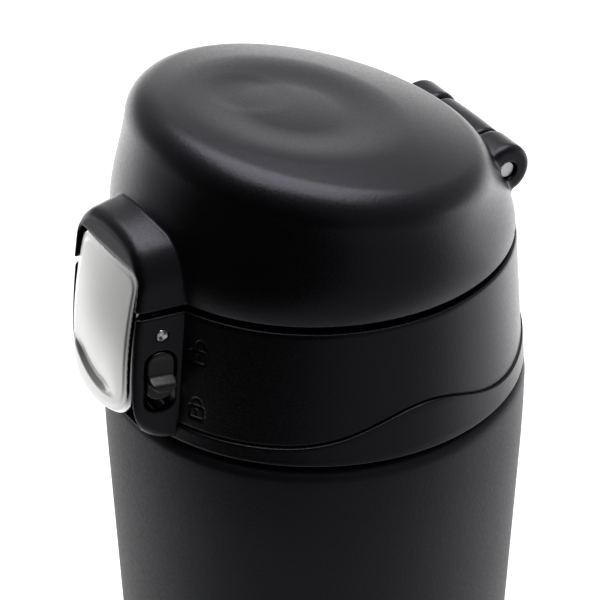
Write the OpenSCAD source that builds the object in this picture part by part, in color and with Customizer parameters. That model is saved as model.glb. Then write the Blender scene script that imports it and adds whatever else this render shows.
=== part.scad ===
// One-touch vacuum mug: a double-walled steel bottle with a screw-on lid.
// The lid has a hinged domed cover, a rocking push button and a small lock slide.
// The origin is the centre of the base. +Z is up, the button faces -Y and the hinge is at +Y.

/* [Bottle] */
// Height of the collar's lower edge above the base
collar_z = 150; // [130:1:170]
// Radius of the bottle at the base
base_r = 27; // [26.5:0.1:28]
// Largest radius of the bottle, just under the collar
belly_r = 33.26; // [33:0.02:33.6]
// Wall of the outer steel shell
shell_wall = 0.8; // [0.5:0.1:1]
// Wall of the inner steel liner
liner_wall = 0.6; // [0.4:0.1:0.8]
// Vacuum gap between the two walls
vacuum_gap = 3; // [2.4:0.1:3.4]
// Outer radius of the neck, without its thread
neck_r = 26; // [25.8:0.1:26.2]
// Height of the mouth's rim above the collar's lower edge
rim_h = 12.5; // [12:0.1:13]

/* [Thread] */
// Rise of the lid in one full turn
lead = 7; // [6:0.5:8]
// Number of thread starts
starts = 2; // [1:1:3]

/* [Collar] */
// Radius of the collar at its lower edge
collar_r = 33; // [32.8:0.1:33.2]
// Radius of the collar at its upper edge
collar_top_r = 31.14; // [31:0.02:31.4]
// Height of the collar
collar_h = 22.3; // [22:0.1:22.6]
// Wall of the collar
collar_wall = 1.8; // [1.6:0.1:2]
// Half the width of the latch housing and of the hood above it, where they meet the collar
housing_w = 11; // [10.9:0.05:11.2]

/* [Cover] */
// Gap between the collar and the closed cover
cover_gap = 1.13; // [1:0.01:1.3]
// Radius of the cover at its lower edge
cover_r = 30.94; // [30.8:0.02:31]
// Half the width of the oval that the middle of the rounded rim runs along
rim_half_w = 24.9; // [24.5:0.1:25]
// Half the depth of that oval, from front to back
rim_half_d = 22.4; // [22:0.1:22.5]
// Radius of the rim's rounding
rim_round = 5.24; // [5:0.01:5.3]
// Tilt of the cover's top, down towards the hinge
top_tilt = 12; // [10:0.5:12.5]
// Wall of the cover
cover_wall = 2; // [1.8:0.1:2.2]

/* [Hinge] */
// Radius of the hinge pin
hinge_pin_r = 1.2; // [1:0.05:1.3]
// Distance of the hinge axis behind the flask's axis
hinge_y = 27; // [26.9:0.05:27.2]
// Height of the hinge axis above the collar's lower edge
hinge_h = 30.25; // [30.1:0.05:30.4]

/* [Button] */
// Half the width of the push plate
plate_w = 9; // [8.8:0.05:9.05]
// Thickness of the push plate
plate_t = 1.4; // [1.2:0.1:1.5]
// Radius of the push plate's bow from top to bottom
plate_bow_r = 89; // [87:1:92]
// How far the middle of the push plate stands out past its edges
plate_crown = 0.9; // [0.8:0.05:1]

/* [Hidden] */
$fn = 96;

black = [0.11, 0.11, 0.12];
coat = [0.10, 0.10, 0.11];
gloss = [0.03, 0.03, 0.03];
satin = [0.80, 0.80, 0.79];
steel = [0.72, 0.72, 0.72];
copper = [0.75, 0.50, 0.35];
silicone = [0.55, 0.56, 0.58];
eps = 0.01;
seat = 0.02;              // gap between two pieces that are fixed together
fit = 0.05;               // radial clearance of a pin in its hole
air = 0.35;               // clearance between pieces that move past each other

// Bottle
pad_t = 1;
shoulder_z = collar_z - 0.75;
straight_z = collar_z - 16;
base_round = 2.8;
belly_arc = 264;
shoulder_round = 2.06;
neck_fillet = 1.2;
lip = 6;                  // width of the shell's turned-in lower lip
liner_base_z = 8.4;
liner_round = 6;
liner_shoulder_z = collar_z - 9;
mouth_r = neck_r - shell_wall - 0.05;
rim_z = collar_z + rim_h;
rim_t = 0.6;

// Thread
ridge_h = 1;
ridge_foot = 1.7;
ridge_top = 0.8;
ridge_sink = 0.3;
thread_turns = 1.1;
thread_low = 3.2;         // first ridge above the collar's lower edge
turn_steps = 36;
female_r = neck_r + ridge_h + 0.5;

// Lid levels above the collar's lower edge
seal_low = rim_h + rim_t + 0.35;
seal_t = 1.8;
deck_low = seal_low + seal_t + 0.1;
deck_t = 1.9;
deck_top = deck_low + deck_t;
spout_r = 22.2;
well_r = 19.5;
ring_wall = 1.8;
opening_r = 22.9;
floor_h = 24.6;
floor_t = 1.6;
lip_h = 33.2;             // top of the drinking lip
lip_r = 18.6;
lip_round = 0.9;
pour_r = 9.6;
vent_r = 1.4;
vent_y = 13.8;

// Collar and latch housing
band_lift = 0.3;
housing_taper = 0.145;    // how fast each side of the housing draws in towards its front
cheek_in = 9.2;           // half the width between the housing's two cheeks
pocket_y = -31.9;         // back of the pocket for the button's lever
pocket_low = 2.6;
latch_y = -32.7;
latch_h = 19.05;
latch_pin_r = 0.9;
flank = [[-29, 0.6], [-31.7, 0.2], [-34.1, 0.8], [-35.8, 1.8], [-36.8, 3.2], [-37.5, 5],
    [-37.8, 8], [-37.7, 12], [-37.35, 16], [-36.7, collar_h], [-29, collar_h]];
knuckle_w = 6.1;
knuckle_r = 3.95;
stem_front = hinge_y - 3.5;
stem_back = hinge_y + 3.2;

// Cover
cover_low = collar_h + cover_gap;
rim_y = -0.84;
rim_h_mid = 36.98;
bulge_h = 28.8;           // where the cover's side is fullest, between its edge and its rim
bulge_r = 30.8;
bulge_y = -0.3;
rim_slope = 14;           // slope at which the rounded rim passes into the crowned top
crown_rise = 2.95;
flat_r = 15;              // level middle of the crowned top
ear_in = 6.45;
ear_out = 13;
ear_r = 4.1;
hood_top = 34.7;
hood_front = -37;
hood_round = 4.5;
hood_crown_r = 23;
roof_h = 29.6;
sweep_r = 7.2;            // the cover's rear edge stays inside this circle round the hinge
liner_plate_r = 22.3;
liner_plate_low = 34.6;
liner_plate_t = 1.6;
liner_plate_y = -1.6;
holder_r = 11.5;
stud_r = 4.9;
cover_seal_r = 15.6;
cover_seal_t = 1.3;

// Hinge spring, in the ear at -X
coil_r = 2.05;
coil_wire = 0.4;
coil_room = 2.9;
coil_x = -11.4;

// Button
plate_low = 3.4;
plate_high = 29.2;
plate_mid = 6.5;          // where the plate's side edges stand out furthest
plate_edge_y = -37.95;
crown_r = (plate_w * plate_w + plate_crown * plate_crown) / (2 * plate_crown);
lever_w = 7.6;
lever_back = -34;
neck_back = -33.2;        // back of the lever's upper half
boss_r = 1.8;             // lever's boss round its pin
spring_h = 10.2;
spring_wire = 0.25;
spring_r = 1.9;
lug_h = 25.3;
lug_front = -32.05;       // front of the cover's catch
nose_back = -32.4;        // tip of the lever's hook

// Lock
slot_y = -33.2;
slot_h = 11;
slot_w = 4.9;
slot_l = 10.6;
slot_round = 2.2;
slot_lean = 3;
slide_l = 8.2;
slide_w = 4.3;
slide_in = 8.3;           // inner end of the slide's guide rib
slide_h = slot_h + (slot_l - slide_l) / 2 - 0.2;

// Points of an arc, from angle a0 to a1, round (x, y)
function arc(x, y, r, a0, a1, n = 8) =
    [for (i = [0:n]) [x + r * cos(a0 + (a1 - a0) * i / n), y + r * sin(a0 + (a1 - a0) * i / n)]];

// The reverse of a list of points
function flip(p) = [for (i = [len(p) - 1:-1:0]) p[i]];

module up(h) {
    translate([0, 0, collar_z + h]) children();
}

// A solid of revolution between an outline and the same outline set in by a wall
module turned(outside, inside) {
    rotate_extrude() polygon(concat(outside, flip(inside)));
}

// An outline in (y, z), drawn out along X from -half to half
module across(points, half) {
    rotate([90, 0, 90]) linear_extrude(2 * half, center = true) polygon(points);
}

// A cylinder along X, centred on the middle plane
module rod(r, half, y, h) {
    translate([0, y, collar_z + h]) rotate([0, 90, 0]) cylinder(r = r, h = 2 * half, center = true);
}

// A helical ridge on a cylinder of radius r. side is 1 outside and -1 inside the cylinder.
module ridge(r, side, z, start) {
    n = round(turn_steps * thread_turns);
    fade = 5;
    rings = [for (i = [0:n])
        let (
            a = 360 * i / turn_steps + start,
            up = lead * i / turn_steps + z,
            grow = max(0.1, min(1, i / fade, (n - i) / fade)),
            root = r - side * ridge_sink,
            top = r + side * ridge_h * grow
        )
        for (q = [[root, -ridge_foot], [top, -ridge_top], [top, ridge_top], [root, ridge_foot]])
            [q[0] * cos(a), q[0] * sin(a), up + q[1] / 2]];
    quads = [for (i = [0:n - 1]) for (k = [0:3])
        let (a = 4 * i + k, b = 4 * i + (k + 1) % 4)
        [[a, b, b + 4], [a, b + 4, a + 4]]];
    sides = [for (q = quads) for (t = q) side > 0 ? t : flip(t)];
    caps = [[0, 3, 2], [0, 2, 1], [4 * n, 4 * n + 1, 4 * n + 2], [4 * n, 4 * n + 2, 4 * n + 3]];
    ends = [for (t = caps) side > 0 ? t : flip(t)];
    polyhedron(rings, concat(sides, ends), convexity = 6);
}

module ridges(r, side, z) {
    for (k = [0:starts - 1]) ridge(r, side, z, k * 360 / starts);
}

// Radius of the bottle's side at height z, below the rounded belly
function side_r(z) =
    let (low = pad_t + base_round, high_r = belly_r - 0.27)
    base_r + (high_r - base_r) * (z - low) / (straight_z - low);

// Outline of the steel shell from its turned-in lower lip to its rim, set in by t
function shell_outline(t) = concat(
    [[base_r - lip, pad_t + t]],
    arc(base_r - base_round, pad_t + base_round, base_round - t, -90, 0),
    arc(belly_r - belly_arc, straight_z + 12, belly_arc - t, -2.6, 0, 5),
    arc(belly_r - shoulder_round, shoulder_z - shoulder_round, shoulder_round - t, 0, 90),
    arc(neck_r + neck_fillet, shoulder_z + neck_fillet, neck_fillet + t, 270, 180, 5),
    [[neck_r - t, rim_z]]);

module outer_shell() {
    color(coat) {
        turned(shell_outline(0), shell_outline(shell_wall));
        ridges(neck_r, 1, collar_z + thread_low);
    }
}

// Outline of the liner from the middle of its floor to its rim, set in by t
function liner_outline(t) =
    let (low = side_r(liner_base_z) - shell_wall - vacuum_gap, high = belly_r - shell_wall - vacuum_gap)
    concat(
        [[0, liner_base_z + t]],
        arc(low - liner_round, liner_base_z + liner_round, liner_round - t, -90, 0),
        arc(high - 3, liner_shoulder_z - 3, 3 - t, 0, 55, 5),
        [[mouth_r - t, collar_z - 3]],
        [[mouth_r - t, rim_z + seat]]);

module inner_liner() {
    color(steel) {
        turned(liner_outline(0), liner_outline(liner_wall));
        translate([0, 0, rim_z + seat]) difference() {
            cylinder(r = neck_r, h = rim_t);
            translate([0, 0, -1]) cylinder(r = mouth_r - liner_wall, h = 3);
        }
    }
}

module radiation_foil() {
    low = 20;
    high = straight_z;
    gap = shell_wall + vacuum_gap - 1;
    color(copper) rotate_extrude() polygon([[side_r(low) - gap, low], [side_r(high) - gap, high],
        [side_r(high) - gap + 0.2, high], [side_r(low) - gap + 0.2, low]]);
}

dimple_r = 7;
dimple_h = 1.8;
plate_z = pad_t + shell_wall + seat;

module bottom_plate() {
    edge = base_r - 3.4;
    color(steel) rotate_extrude() polygon([[1.2, plate_z + dimple_h], [dimple_r, plate_z + dimple_h],
        [dimple_r + 1, plate_z], [edge, plate_z], [edge, plate_z + shell_wall],
        [dimple_r + 1.5, plate_z + shell_wall], [dimple_r + 0.5, plate_z + dimple_h + shell_wall],
        [1.2, plate_z + dimple_h + shell_wall]]);
}

module vacuum_seal() {
    r = 3.2;
    color(satin) translate([0, 0, plate_z + dimple_h - seat]) rotate_extrude()
        polygon(concat([[0, 0]], arc(0, 0, r, 0, -90, 6) * [[1, 0], [0, 0.3]]));
}

module getter_capsule() {
    color(satin) translate([15, 0, plate_z + shell_wall + seat]) {
        cylinder(r = 4, h = 1.6);
        cylinder(r = 3.2, h = 2);
    }
}

module base_pad() {
    outer = base_r - 1.2;
    color(gloss) difference() {
        cylinder(r1 = outer - 0.5, r2 = outer, h = pad_t - seat);
        translate([0, 0, -eps]) difference() {
            cylinder(r = 21, h = 0.4);
            translate([0, 0, -1]) cylinder(r = 19.6, h = 3);
        }
    }
}

module stopper_seal() {
    inner = mouth_r - 1.6;
    color(silicone) up(seal_low) rotate_extrude() polygon([[inner, 0.3], [inner + 0.8, 0],
        [neck_r + 0.4, 0], [neck_r + 0.4, seal_t], [inner + 1, seal_t], [inner, seal_t - 0.5]]);
}

// Height of the collar's wavy seam at depth y, above the collar's lower edge
function wave_h(y) = 2.7 + 5.5 * exp(-pow(y / 12.6, 2)) + 2.4 * exp(-pow((y - 33) / 10, 2));

module wave_band() {
    points = [for (y = [-34:1:34]) [y, wave_h(y)]];
    intersection() {
        up(0) rotate_extrude() polygon([[collar_r - 1.5, 0.01], [collar_r - 0.5, 0.01], [collar_r, 0.5],
            [collar_r - 0.75, 12], [collar_r - 2, 12]]);
        translate([0, 0, collar_z]) across(concat([[-34, -1]], points, [[34, -1]]), 40);
    }
}

// Half the width of the latch housing at depth y
function half_w(y) = housing_w + housing_taper * (y + 29.8);

module collar_ring() {
    low = collar_r - band_lift;
    up(0) rotate_extrude() polygon([[low - collar_wall, 0], [low - 0.3, 0], [low, 0.3],
        [collar_top_r, collar_h - 0.4], [collar_top_r - 0.4, collar_h], [opening_r, collar_h],
        [opening_r, collar_h - 2], [collar_top_r - collar_wall, collar_h - 2]]);
}

module collar() {
    stem = [[stem_front, collar_h - 1], [stem_back, collar_h - 1], [stem_back, hinge_h],
        [stem_front, hinge_h]];
    color(black) difference() {
        union() {
            collar_ring();
            wave_band();
            difference() {
                intersection() {
                    translate([0, 0, collar_z]) across(flank, housing_w + 1);
                    up(-1) linear_extrude(collar_h + 2)
                        polygon([[-half_w(-40), -40], [half_w(-40), -40], [half_w(-24), -24],
                            [-half_w(-24), -24]]);
                }
                up(-1) cylinder(r1 = 30.6, r2 = collar_top_r - 1.4, h = collar_h + 2);
            }
            translate([0, 0, collar_z]) across(stem, knuckle_w);
            rod(knuckle_r, knuckle_w, hinge_y, hinge_h);
        }
        // pocket for the plate and its lever
        translate([-cheek_in, -45, collar_z + pocket_low]) cube([2 * cheek_in, 45 + pocket_y, collar_h]);
        rod(boss_r + air, cheek_in, latch_y, latch_h);
        // seat of the button's spring
        translate([0, -31.4, collar_z + spring_h]) rotate([90, 0, 0]) cylinder(r = 2.6, h = 3);
        rod(latch_pin_r + fit, housing_w + 1, latch_y, latch_h);
        rod(hinge_pin_r + fit, knuckle_w + 1, hinge_y, hinge_h);
        lock_slot(slot_l, slot_w, cheek_in - 1, housing_w + 1);
        // hole for the end of the hinge spring
        translate([-knuckle_w - 1, hinge_y, collar_z + hinge_h - coil_r]) rotate([0, 90, 0])
            cylinder(r = coil_wire + 0.1, h = 3);
    }
}

// An upright rounded slot through the housing's +X flank
module lock_slot(l, w, x0, x1) {
    round_r = w / slot_w * slot_round;
    translate([x0, slot_y, collar_z + slot_h]) rotate([-slot_lean, 0, 0]) rotate([90, 0, 90])
        linear_extrude(x1 - x0) union() {
            square([w, l - 2 * round_r], center = true);
            square([w - 2 * round_r, l], center = true);
            for (sx = [-1, 1]) for (sy = [-1, 1])
                translate([sx * (w / 2 - round_r), sy * (l / 2 - round_r)]) circle(round_r, $fn = 32);
        }
}

module stopper_body() {
    inner = female_r;
    color(black) {
        difference() {
            up(1) cylinder(r = inner + ring_wall, h = deck_top - 1);
            up(0) cylinder(r = inner, h = deck_low);
            up(0) cylinder(r = well_r, h = collar_h);
        }
        up(0) rotate_extrude() polygon([[well_r, deck_low], [well_r + 0.9, deck_low],
            [well_r + 0.9, floor_h - 3.6], [well_r, floor_h - 3.6]]);
        ridges(inner, -1, collar_z + thread_low + lead / starts / 2);
    }
}

module spout() {
    skirt_in = well_r + 0.9 + seat;
    outside = concat([[spout_r, deck_top + seat]],
        arc(spout_r - 2, collar_h + 0.4, 2, 0, 60, 4), [[lip_r + 0.6, 27]],
        arc(lip_r - lip_round, lip_h - lip_round, lip_round, 0, 180, 8));
    inside = [[lip_r - 2 * lip_round, 28], [16.2, floor_h], [15, floor_h], [15, floor_h - floor_t],
        [skirt_in, floor_h - floor_t - 0.9], [skirt_in, deck_top + seat]];
    color(black) {
        up(0) rotate_extrude() polygon(concat(outside, inside));
        difference() {
            up(floor_h - floor_t) cylinder(r = 15.3, h = floor_t);
            up(floor_h - floor_t - 1) cylinder(r = pour_r, h = floor_t + 2);
            translate([0, vent_y, collar_z + floor_h - 3]) cylinder(r = vent_r, h = 6);
        }
    }
}

module spout_seal() {
    low = floor_h - 3.6 + seat;
    high = floor_h - floor_t - 0.9 - seat;
    color(silicone) up(0) rotate_extrude() polygon([[well_r + 0.1, low], [well_r + 0.9, low],
        [well_r + 0.9, high], [well_r + 0.1, high]]);
}

module hinge_pin() {
    color(steel) rod(hinge_pin_r, ear_out - 0.5, hinge_y, hinge_h);
}

module latch_pin() {
    color(steel) rod(latch_pin_r, half_w(latch_y) - 0.2, latch_y, latch_h);
}

// A coil of round wire about Z, from height 0
module coil(r, wire, turns, length, sides = 6, steps = 20) {
    n = round(turns * steps);
    rings = [for (i = [0:n]) for (k = [0:sides - 1])
        let (a = 360 * i / steps, q = 360 * k / sides, d = r + wire * cos(q))
        [d * cos(a), d * sin(a), length * i / n + wire * sin(q)]];
    walls = [for (i = [0:n - 1]) for (k = [0:sides - 1])
        let (a = sides * i + k, b = sides * i + (k + 1) % sides)
        for (t = [[a, b, b + sides], [a, b + sides, a + sides]]) t];
    first = [for (k = [sides - 1:-1:0]) k];
    last = [for (k = [0:sides - 1]) sides * n + k];
    polyhedron(rings, concat(walls, [first, last]), convexity = 8);
}

module hinge_spring() {
    color(steel) translate([coil_x, hinge_y, collar_z + hinge_h]) rotate([0, 90, 0]) {
        coil(coil_r, coil_wire, 4, 4.6);
        translate([coil_r, 0, 4.5]) cylinder(r = coil_wire - 0.06, h = 2.3, $fn = 24);
    }
}

module button_spring() {
    color(steel) translate([0, -31.75, collar_z + spring_h]) rotate([90, 0, 0])
        coil(spring_r, spring_wire, 5, 4);
}

// Height of the cover's crowned top over the middle of its rim's rounding, at radius r
function top_h(r) =
    rim_round * cos(rim_slope) + crown_rise * (1 - pow(r / (rim_half_d + rim_round * sin(rim_slope)), 2));

// The cover's domed outline, set in by a wall: a round lower edge drawn in to a tilted oval rim
module dome(wall, low) {
    crown = [for (r = [23:-2:flat_r]) [r, top_h(r) - wall]];
    hull() {
        up(low) cylinder(r = cover_r - wall, h = 0.6, $fn = 96);
        translate([0, bulge_y, 0]) up(bulge_h) cylinder(r = bulge_r - wall, h = eps, $fn = 96);
        translate([0, rim_y, collar_z + rim_h_mid]) rotate([-top_tilt, 0, 0])
            scale([rim_half_w / rim_half_d, 1, 1]) {
                rotate_extrude($fn = 72) translate([rim_half_d, 0]) circle(rim_round - wall, $fn = 28);
                rotate_extrude($fn = 72)
                    polygon(concat([[0, 0], [23, 0]], crown, [[0, top_h(flat_r) - wall]]));
            }
    }
}

// Front view of the hood, half wide: upright sides, round shoulders and a slightly crowned top
function hood_outline(half) =
    let (
        side = half - hood_round,
        reach = hood_crown_r - hood_round,
        turn = acos(side / reach),
        h = hood_top - hood_crown_r + reach * sin(turn)
    )
    concat(
        [[half, cover_low]],
        arc(side, h, hood_round, 0, turn, 6),
        arc(0, hood_top - hood_crown_r, hood_crown_r, turn, 180 - turn, 6),
        arc(-side, h, hood_round, 180 - turn, 180, 6),
        [[-half, cover_low]]);

// The hood over the upper half of the push plate
module hood() {
    side = [[hood_front, cover_low], [hood_front + 1.1, 30], [hood_front + 1.6, 32.2],
        [hood_front + 2.6, 33.6], [-29, hood_top], [-24, hood_top], [-24, cover_low]];
    intersection() {
        translate([0, 0, collar_z]) across(side, housing_w + 2);
        hull() for (y = [-40, -24])
            translate([0, y, collar_z]) rotate([90, 0, 0]) linear_extrude(eps)
                polygon(hood_outline(half_w(y)));
    }
}

module cover() {
    color(black) difference() {
        union() {
            dome(0, cover_low);
            hood();
            for (s = [-1, 1]) translate([s * (ear_in + ear_out) / 2, 0, 0])
                rod(ear_r, (ear_out - ear_in) / 2, hinge_y, hinge_h);
        }
        difference() {
            dome(cover_wall, cover_low - 1);
            for (s = [-1, 1]) translate([s * (ear_in + ear_out) / 2, 0, 0])
                rod(ear_r, (ear_out - ear_in) / 2, hinge_y, hinge_h);
        }
        // room for the plate and the lever's hook, round the catch
        difference() {
            translate([-cheek_in, -45, collar_z + cover_low - 1])
                cube([2 * cheek_in, 45 - 31.2, roof_h - cover_low + 1]);
            translate([-5, lug_front, collar_z + lug_h]) cube([10, 3, 1.6]);
        }
        // gap for the collar's knuckle and its stem
        translate([-ear_in, 18, collar_z + cover_low - 1]) cube([2 * ear_in, 20, hinge_h - cover_low + 1]);
        rod(knuckle_r + air, ear_in, hinge_y, hinge_h);
        translate([-ear_in, hinge_y + 1.5, collar_z + hinge_h]) cube([2 * ear_in, 10, knuckle_r]);
        // rear edge, rounded to swing clear of the collar
        difference() {
            translate([-20, 20, collar_z + cover_low - 1]) cube([40, 20, 3]);
            rod(sweep_r, 30, hinge_y, hinge_h);
        }
        rod(hinge_pin_r + fit, ear_out + 1, hinge_y, hinge_h);
        translate([-ear_in - 5.5, hinge_y, collar_z + hinge_h]) rotate([0, 90, 0])
            cylinder(r = coil_room, h = 6);
    }
}

module cover_liner() {
    color(black) translate([0, liner_plate_y, 0]) up(liner_plate_low) difference() {
        cylinder(r = liner_plate_r, h = liner_plate_t);
        translate([0, -liner_plate_y, -1]) cylinder(r = stud_r + seat, h = 5);
    }
}

module seal_holder() {
    low = floor_h + air + cover_seal_t + seat;
    color(silicone) {
        up(low) cylinder(r = holder_r, h = liner_plate_low - low - seat);
        up(low - cover_seal_t - 2 * seat) cylinder(r = stud_r, h = liner_plate_low + liner_plate_t - low);
    }
}

module cover_seal() {
    color(silicone) up(floor_h + air) difference() {
        cylinder(r = cover_seal_r, h = cover_seal_t);
        translate([0, 0, -1]) cylinder(r = stud_r + seat, h = 4);
    }
}

// Front view of the push plate, in (x, z): square shoulders and a bowed lower edge
function plate_front() =
    let (bow_r = 13, corner = 1.6, top = 1.9)
    concat(
        arc(plate_w - top, plate_high - top, top, 0, 90, 6),
        arc(-plate_w + top, plate_high - top, top, 90, 180, 6),
        arc(-plate_w + corner, plate_low + 3.6, corner, 180, 230, 4),
        arc(0, plate_low + bow_r, bow_r, -124, -56, 12),
        arc(plate_w - corner, plate_low + 3.6, corner, -50, 0, 4));

// Depth of the push plate's side edges at height h
function plate_y(h) = plate_edge_y + plate_bow_r - sqrt(pow(plate_bow_r, 2) - pow(h - plate_mid, 2));

module button_plate() {
    middle = plate_bow_r + plate_crown - crown_r;
    color(satin) intersection() {
        translate([0, plate_edge_y + plate_bow_r, collar_z + plate_mid]) rotate([0, 90, 0])
            rotate_extrude($fn = 360) intersection() {
                difference() {
                    translate([middle, 0]) circle(crown_r, $fn = 240);
                    translate([middle - plate_t, 0]) circle(crown_r, $fn = 240);
                }
                translate([plate_bow_r - 5, -plate_w - 1]) square([10, 2 * plate_w + 2]);
            }
        translate([0, -20, collar_z]) rotate([90, 0, 0]) linear_extrude(40) polygon(plate_front());
    }
}

module button_lever() {
    low = plate_low + 2.4;
    high = plate_high - 0.7;
    rest = plate_t - 0.16;
    front = [for (h = [high:(low - high) / 8:low]) [plate_y(h) + rest, h]];
    back = [[lever_back, low], [lever_back, 16], [neck_back, 17.5], [neck_back, 27.4],
        [nose_back, 27.4], [nose_back, 28], [nose_back - 0.4, high]];
    color(black) difference() {
        union() {
            translate([0, 0, collar_z]) across(concat(front, back), lever_w);
            rod(boss_r, lever_w, latch_y, latch_h);
        }
        rod(latch_pin_r + fit, lever_w + 1, latch_y, latch_h);
        translate([0, lever_back + 1, collar_z + spring_h]) rotate([90, 0, 0])
            cylinder(r = spring_r + spring_wire + 0.35, h = 3.3);
    }
}

// Places a shape in the lock slide's own frame: X outwards, Z along its travel
module on_lock() {
    translate([0, slot_y, collar_z + slot_h]) rotate([-slot_lean, 0, 0])
        translate([0, 0, slide_h - slot_h]) children();
}

module lock_slide() {
    round_r = 2;
    ridge_side = [[10.3, 3], [10.5, 1.6], [11, 0.3], [12, -0.9], [12.2, -1.4], [11.9, -1.9],
        [10.3, -2.1]];
    color(gloss) on_lock() {
        rotate([90, 0, 90]) translate([0, 0, 9.4]) linear_extrude(1) union() {
            square([slide_w, slide_l - 2 * round_r], center = true);
            square([slide_w - 2 * round_r, slide_l], center = true);
            for (sx = [-1, 1]) for (sy = [-1, 1])
                translate([sx * (slide_w / 2 - round_r), sy * (slide_l / 2 - round_r)])
                    circle(round_r, $fn = 32);
        }
        translate([0, 1.9, 0]) rotate([90, 0, 0]) linear_extrude(3.8) polygon(ridge_side);
        // guide rib, behind the cheek
        translate([slide_in, -1.4, -4]) cube([1.2, 2.8, 8]);
    }
}

module lock_bar() {
    color(gloss) on_lock() translate([4.5, 0.45, -2.5]) cube([slide_in - seat - 4.5, 0.6, 5]);
}

outer_shell();
inner_liner();
radiation_foil();
bottom_plate();
vacuum_seal();
getter_capsule();
base_pad();
stopper_seal();
collar();
stopper_body();
spout();
spout_seal();
hinge_pin();
hinge_spring();
latch_pin();
button_spring();
cover();
cover_liner();
seal_holder();
cover_seal();
button_plate();
button_lever();
lock_slide();
lock_bar();
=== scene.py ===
"""A one-touch vacuum mug in satin black, with a silver push button.

Shapes are worked out in millimetres, with h as the height above the collar's lower edge,
and turned to metres in the frame's own axes when a mesh is made. The button is towards -Y,
the hinge towards +Y and the lock slide towards +X. LATCH, SLOT and HINGE are (y, h).
"""
import math

import bpy
import numpy as np
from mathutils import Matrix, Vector


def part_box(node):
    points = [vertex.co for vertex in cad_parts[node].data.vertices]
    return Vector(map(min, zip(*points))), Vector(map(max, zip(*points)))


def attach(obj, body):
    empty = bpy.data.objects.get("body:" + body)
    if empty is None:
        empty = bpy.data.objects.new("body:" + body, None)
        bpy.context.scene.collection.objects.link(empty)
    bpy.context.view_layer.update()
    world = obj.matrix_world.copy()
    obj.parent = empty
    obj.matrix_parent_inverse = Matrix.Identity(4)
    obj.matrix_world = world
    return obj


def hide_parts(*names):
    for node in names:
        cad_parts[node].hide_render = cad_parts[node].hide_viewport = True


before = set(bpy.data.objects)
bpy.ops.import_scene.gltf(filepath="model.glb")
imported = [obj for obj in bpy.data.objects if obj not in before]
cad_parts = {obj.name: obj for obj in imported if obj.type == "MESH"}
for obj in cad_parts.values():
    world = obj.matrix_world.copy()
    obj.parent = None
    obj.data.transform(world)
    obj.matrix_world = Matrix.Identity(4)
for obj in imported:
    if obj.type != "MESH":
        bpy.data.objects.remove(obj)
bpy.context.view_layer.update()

MM = 0.001
COLLAR_Z = (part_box("collar")[0] / MM).z

# Collar and latch housing
COLLAR_R = 33.0
COLLAR_TOP_R = 31.14
COLLAR_H = 22.3
COLLAR_INNER_R = 30.9
TOP_EDGE, LOW_EDGE, INNER_EDGE = 0.45, 0.4, 0.3
OPENING_R = 22.9
LIP_H = 2.0
BAND_LIFT = 0.3
SEAM_H = 2.7
SIDE_WAVE, SIDE_WAVE_W = 5.5, 12.6
BACK_WAVE, BACK_WAVE_W = 2.4, 10
# height above the seam, and how far out in parts of the band's lift
SEAM_STEPS = [(-0.14, 0.95), (-0.06, 0.62), (-0.03, 0.0), (0, -0.9), (0.1, -1.3), (0.2, -0.9), (0.26, -0.3),
              (0.36, 0.0)]
SIGN_ANGLE = math.radians(25.5)
SIGNS = ((16.2, True), (6.8, False))  # height, and whether the padlock is open
SIGN_DEPTH = 0.13
HOUSING_Y = -29.8
HOUSING_W = 11.0
HOUSING_TAPER = 0.145
HOUSING_ROUND = 1.6
FLANK_Y = -37.72
FLANK_BOW = 0.0055
FOOT_Y = -30.5
FOOT_REACH = 7.22
FOOT_TOP = 8.5
FOOT_H = 8.4
CHEEK_IN = 9.2
POCKET_Y = -31.9
POCKET_LOW = 2.6
LATCH = (-32.7, 19.05)
SLOT = (-33.2, 11.0)
SLOT_SIZE = (4.9, 10.6)
SLOT_ROUND = 2.2
SLOT_LEAN = math.radians(3)

# Cover
COVER_LOW = 23.43
COVER_R = 30.94
COVER_WALL = 2.0
RIM_RING = (24.9, 22.4)  # half width and half depth
RIM_ROUND = 5.23
RIM_Y = -0.84
RIM_H = 36.97
TOP_TILT = math.radians(12)
SIDE_BULGE = 6.345
BULGE_SPAN = 14.5
RIM_SLOPE = math.radians(14)
CROWN_RISE = 2.95
DISH = (0.0, -4.5, 17.5, 16.0)  # x, y, half width and half depth
DISH_DEPTH = 1.25
DIMPLE = (-6.0, -8.5, 7.5, 0.08)  # x, y, radius and depth
HOOD_TOP = 34.5
HOOD_SLOPE = 0.14
HOOD_FRONT = -36.85
HOOD_LEAN = 0.16
HOOD_ROUND = 4.5
HOOD_CROWN = 0.022
HOOD_BACK = -20
ROOF_H = 29.6
ROOF_ROUND = 2.1
ROOF_Y = -31.2
CATCH = ((-5, -32.05, 25.3), (5, -29.05, 26.9))

# Hinge
HINGE = (27.0, 30.25)
HINGE_PIN_R = 1.2
EAR_IN, EAR_OUT, EAR_R = 6.45, 13.0, 4.1
KNUCKLE_W, KNUCKLE_R = 6.1, 3.95
KNUCKLE_GAP = 0.35
SWING_R = 7.2

# Push plate
PLATE_W = 9.0
PLATE_LOW, PLATE_HIGH = 3.4, 29.2
PLATE_MID = 6.5
PLATE_EDGE_Y = -37.95
PLATE_BOW_R = 89.0
PLATE_T = 1.4
PLATE_CROWN = 0.9
SHOULDER_ROUND = 2.2
PLATE_FOOT_R, PLATE_FOOT_ROUND = 18.0, 3.4
DENT_H, DENT_DEPTH = 7.6, 0.75
BORDER_SINK = 0.1
RIM_W = 0.55

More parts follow.
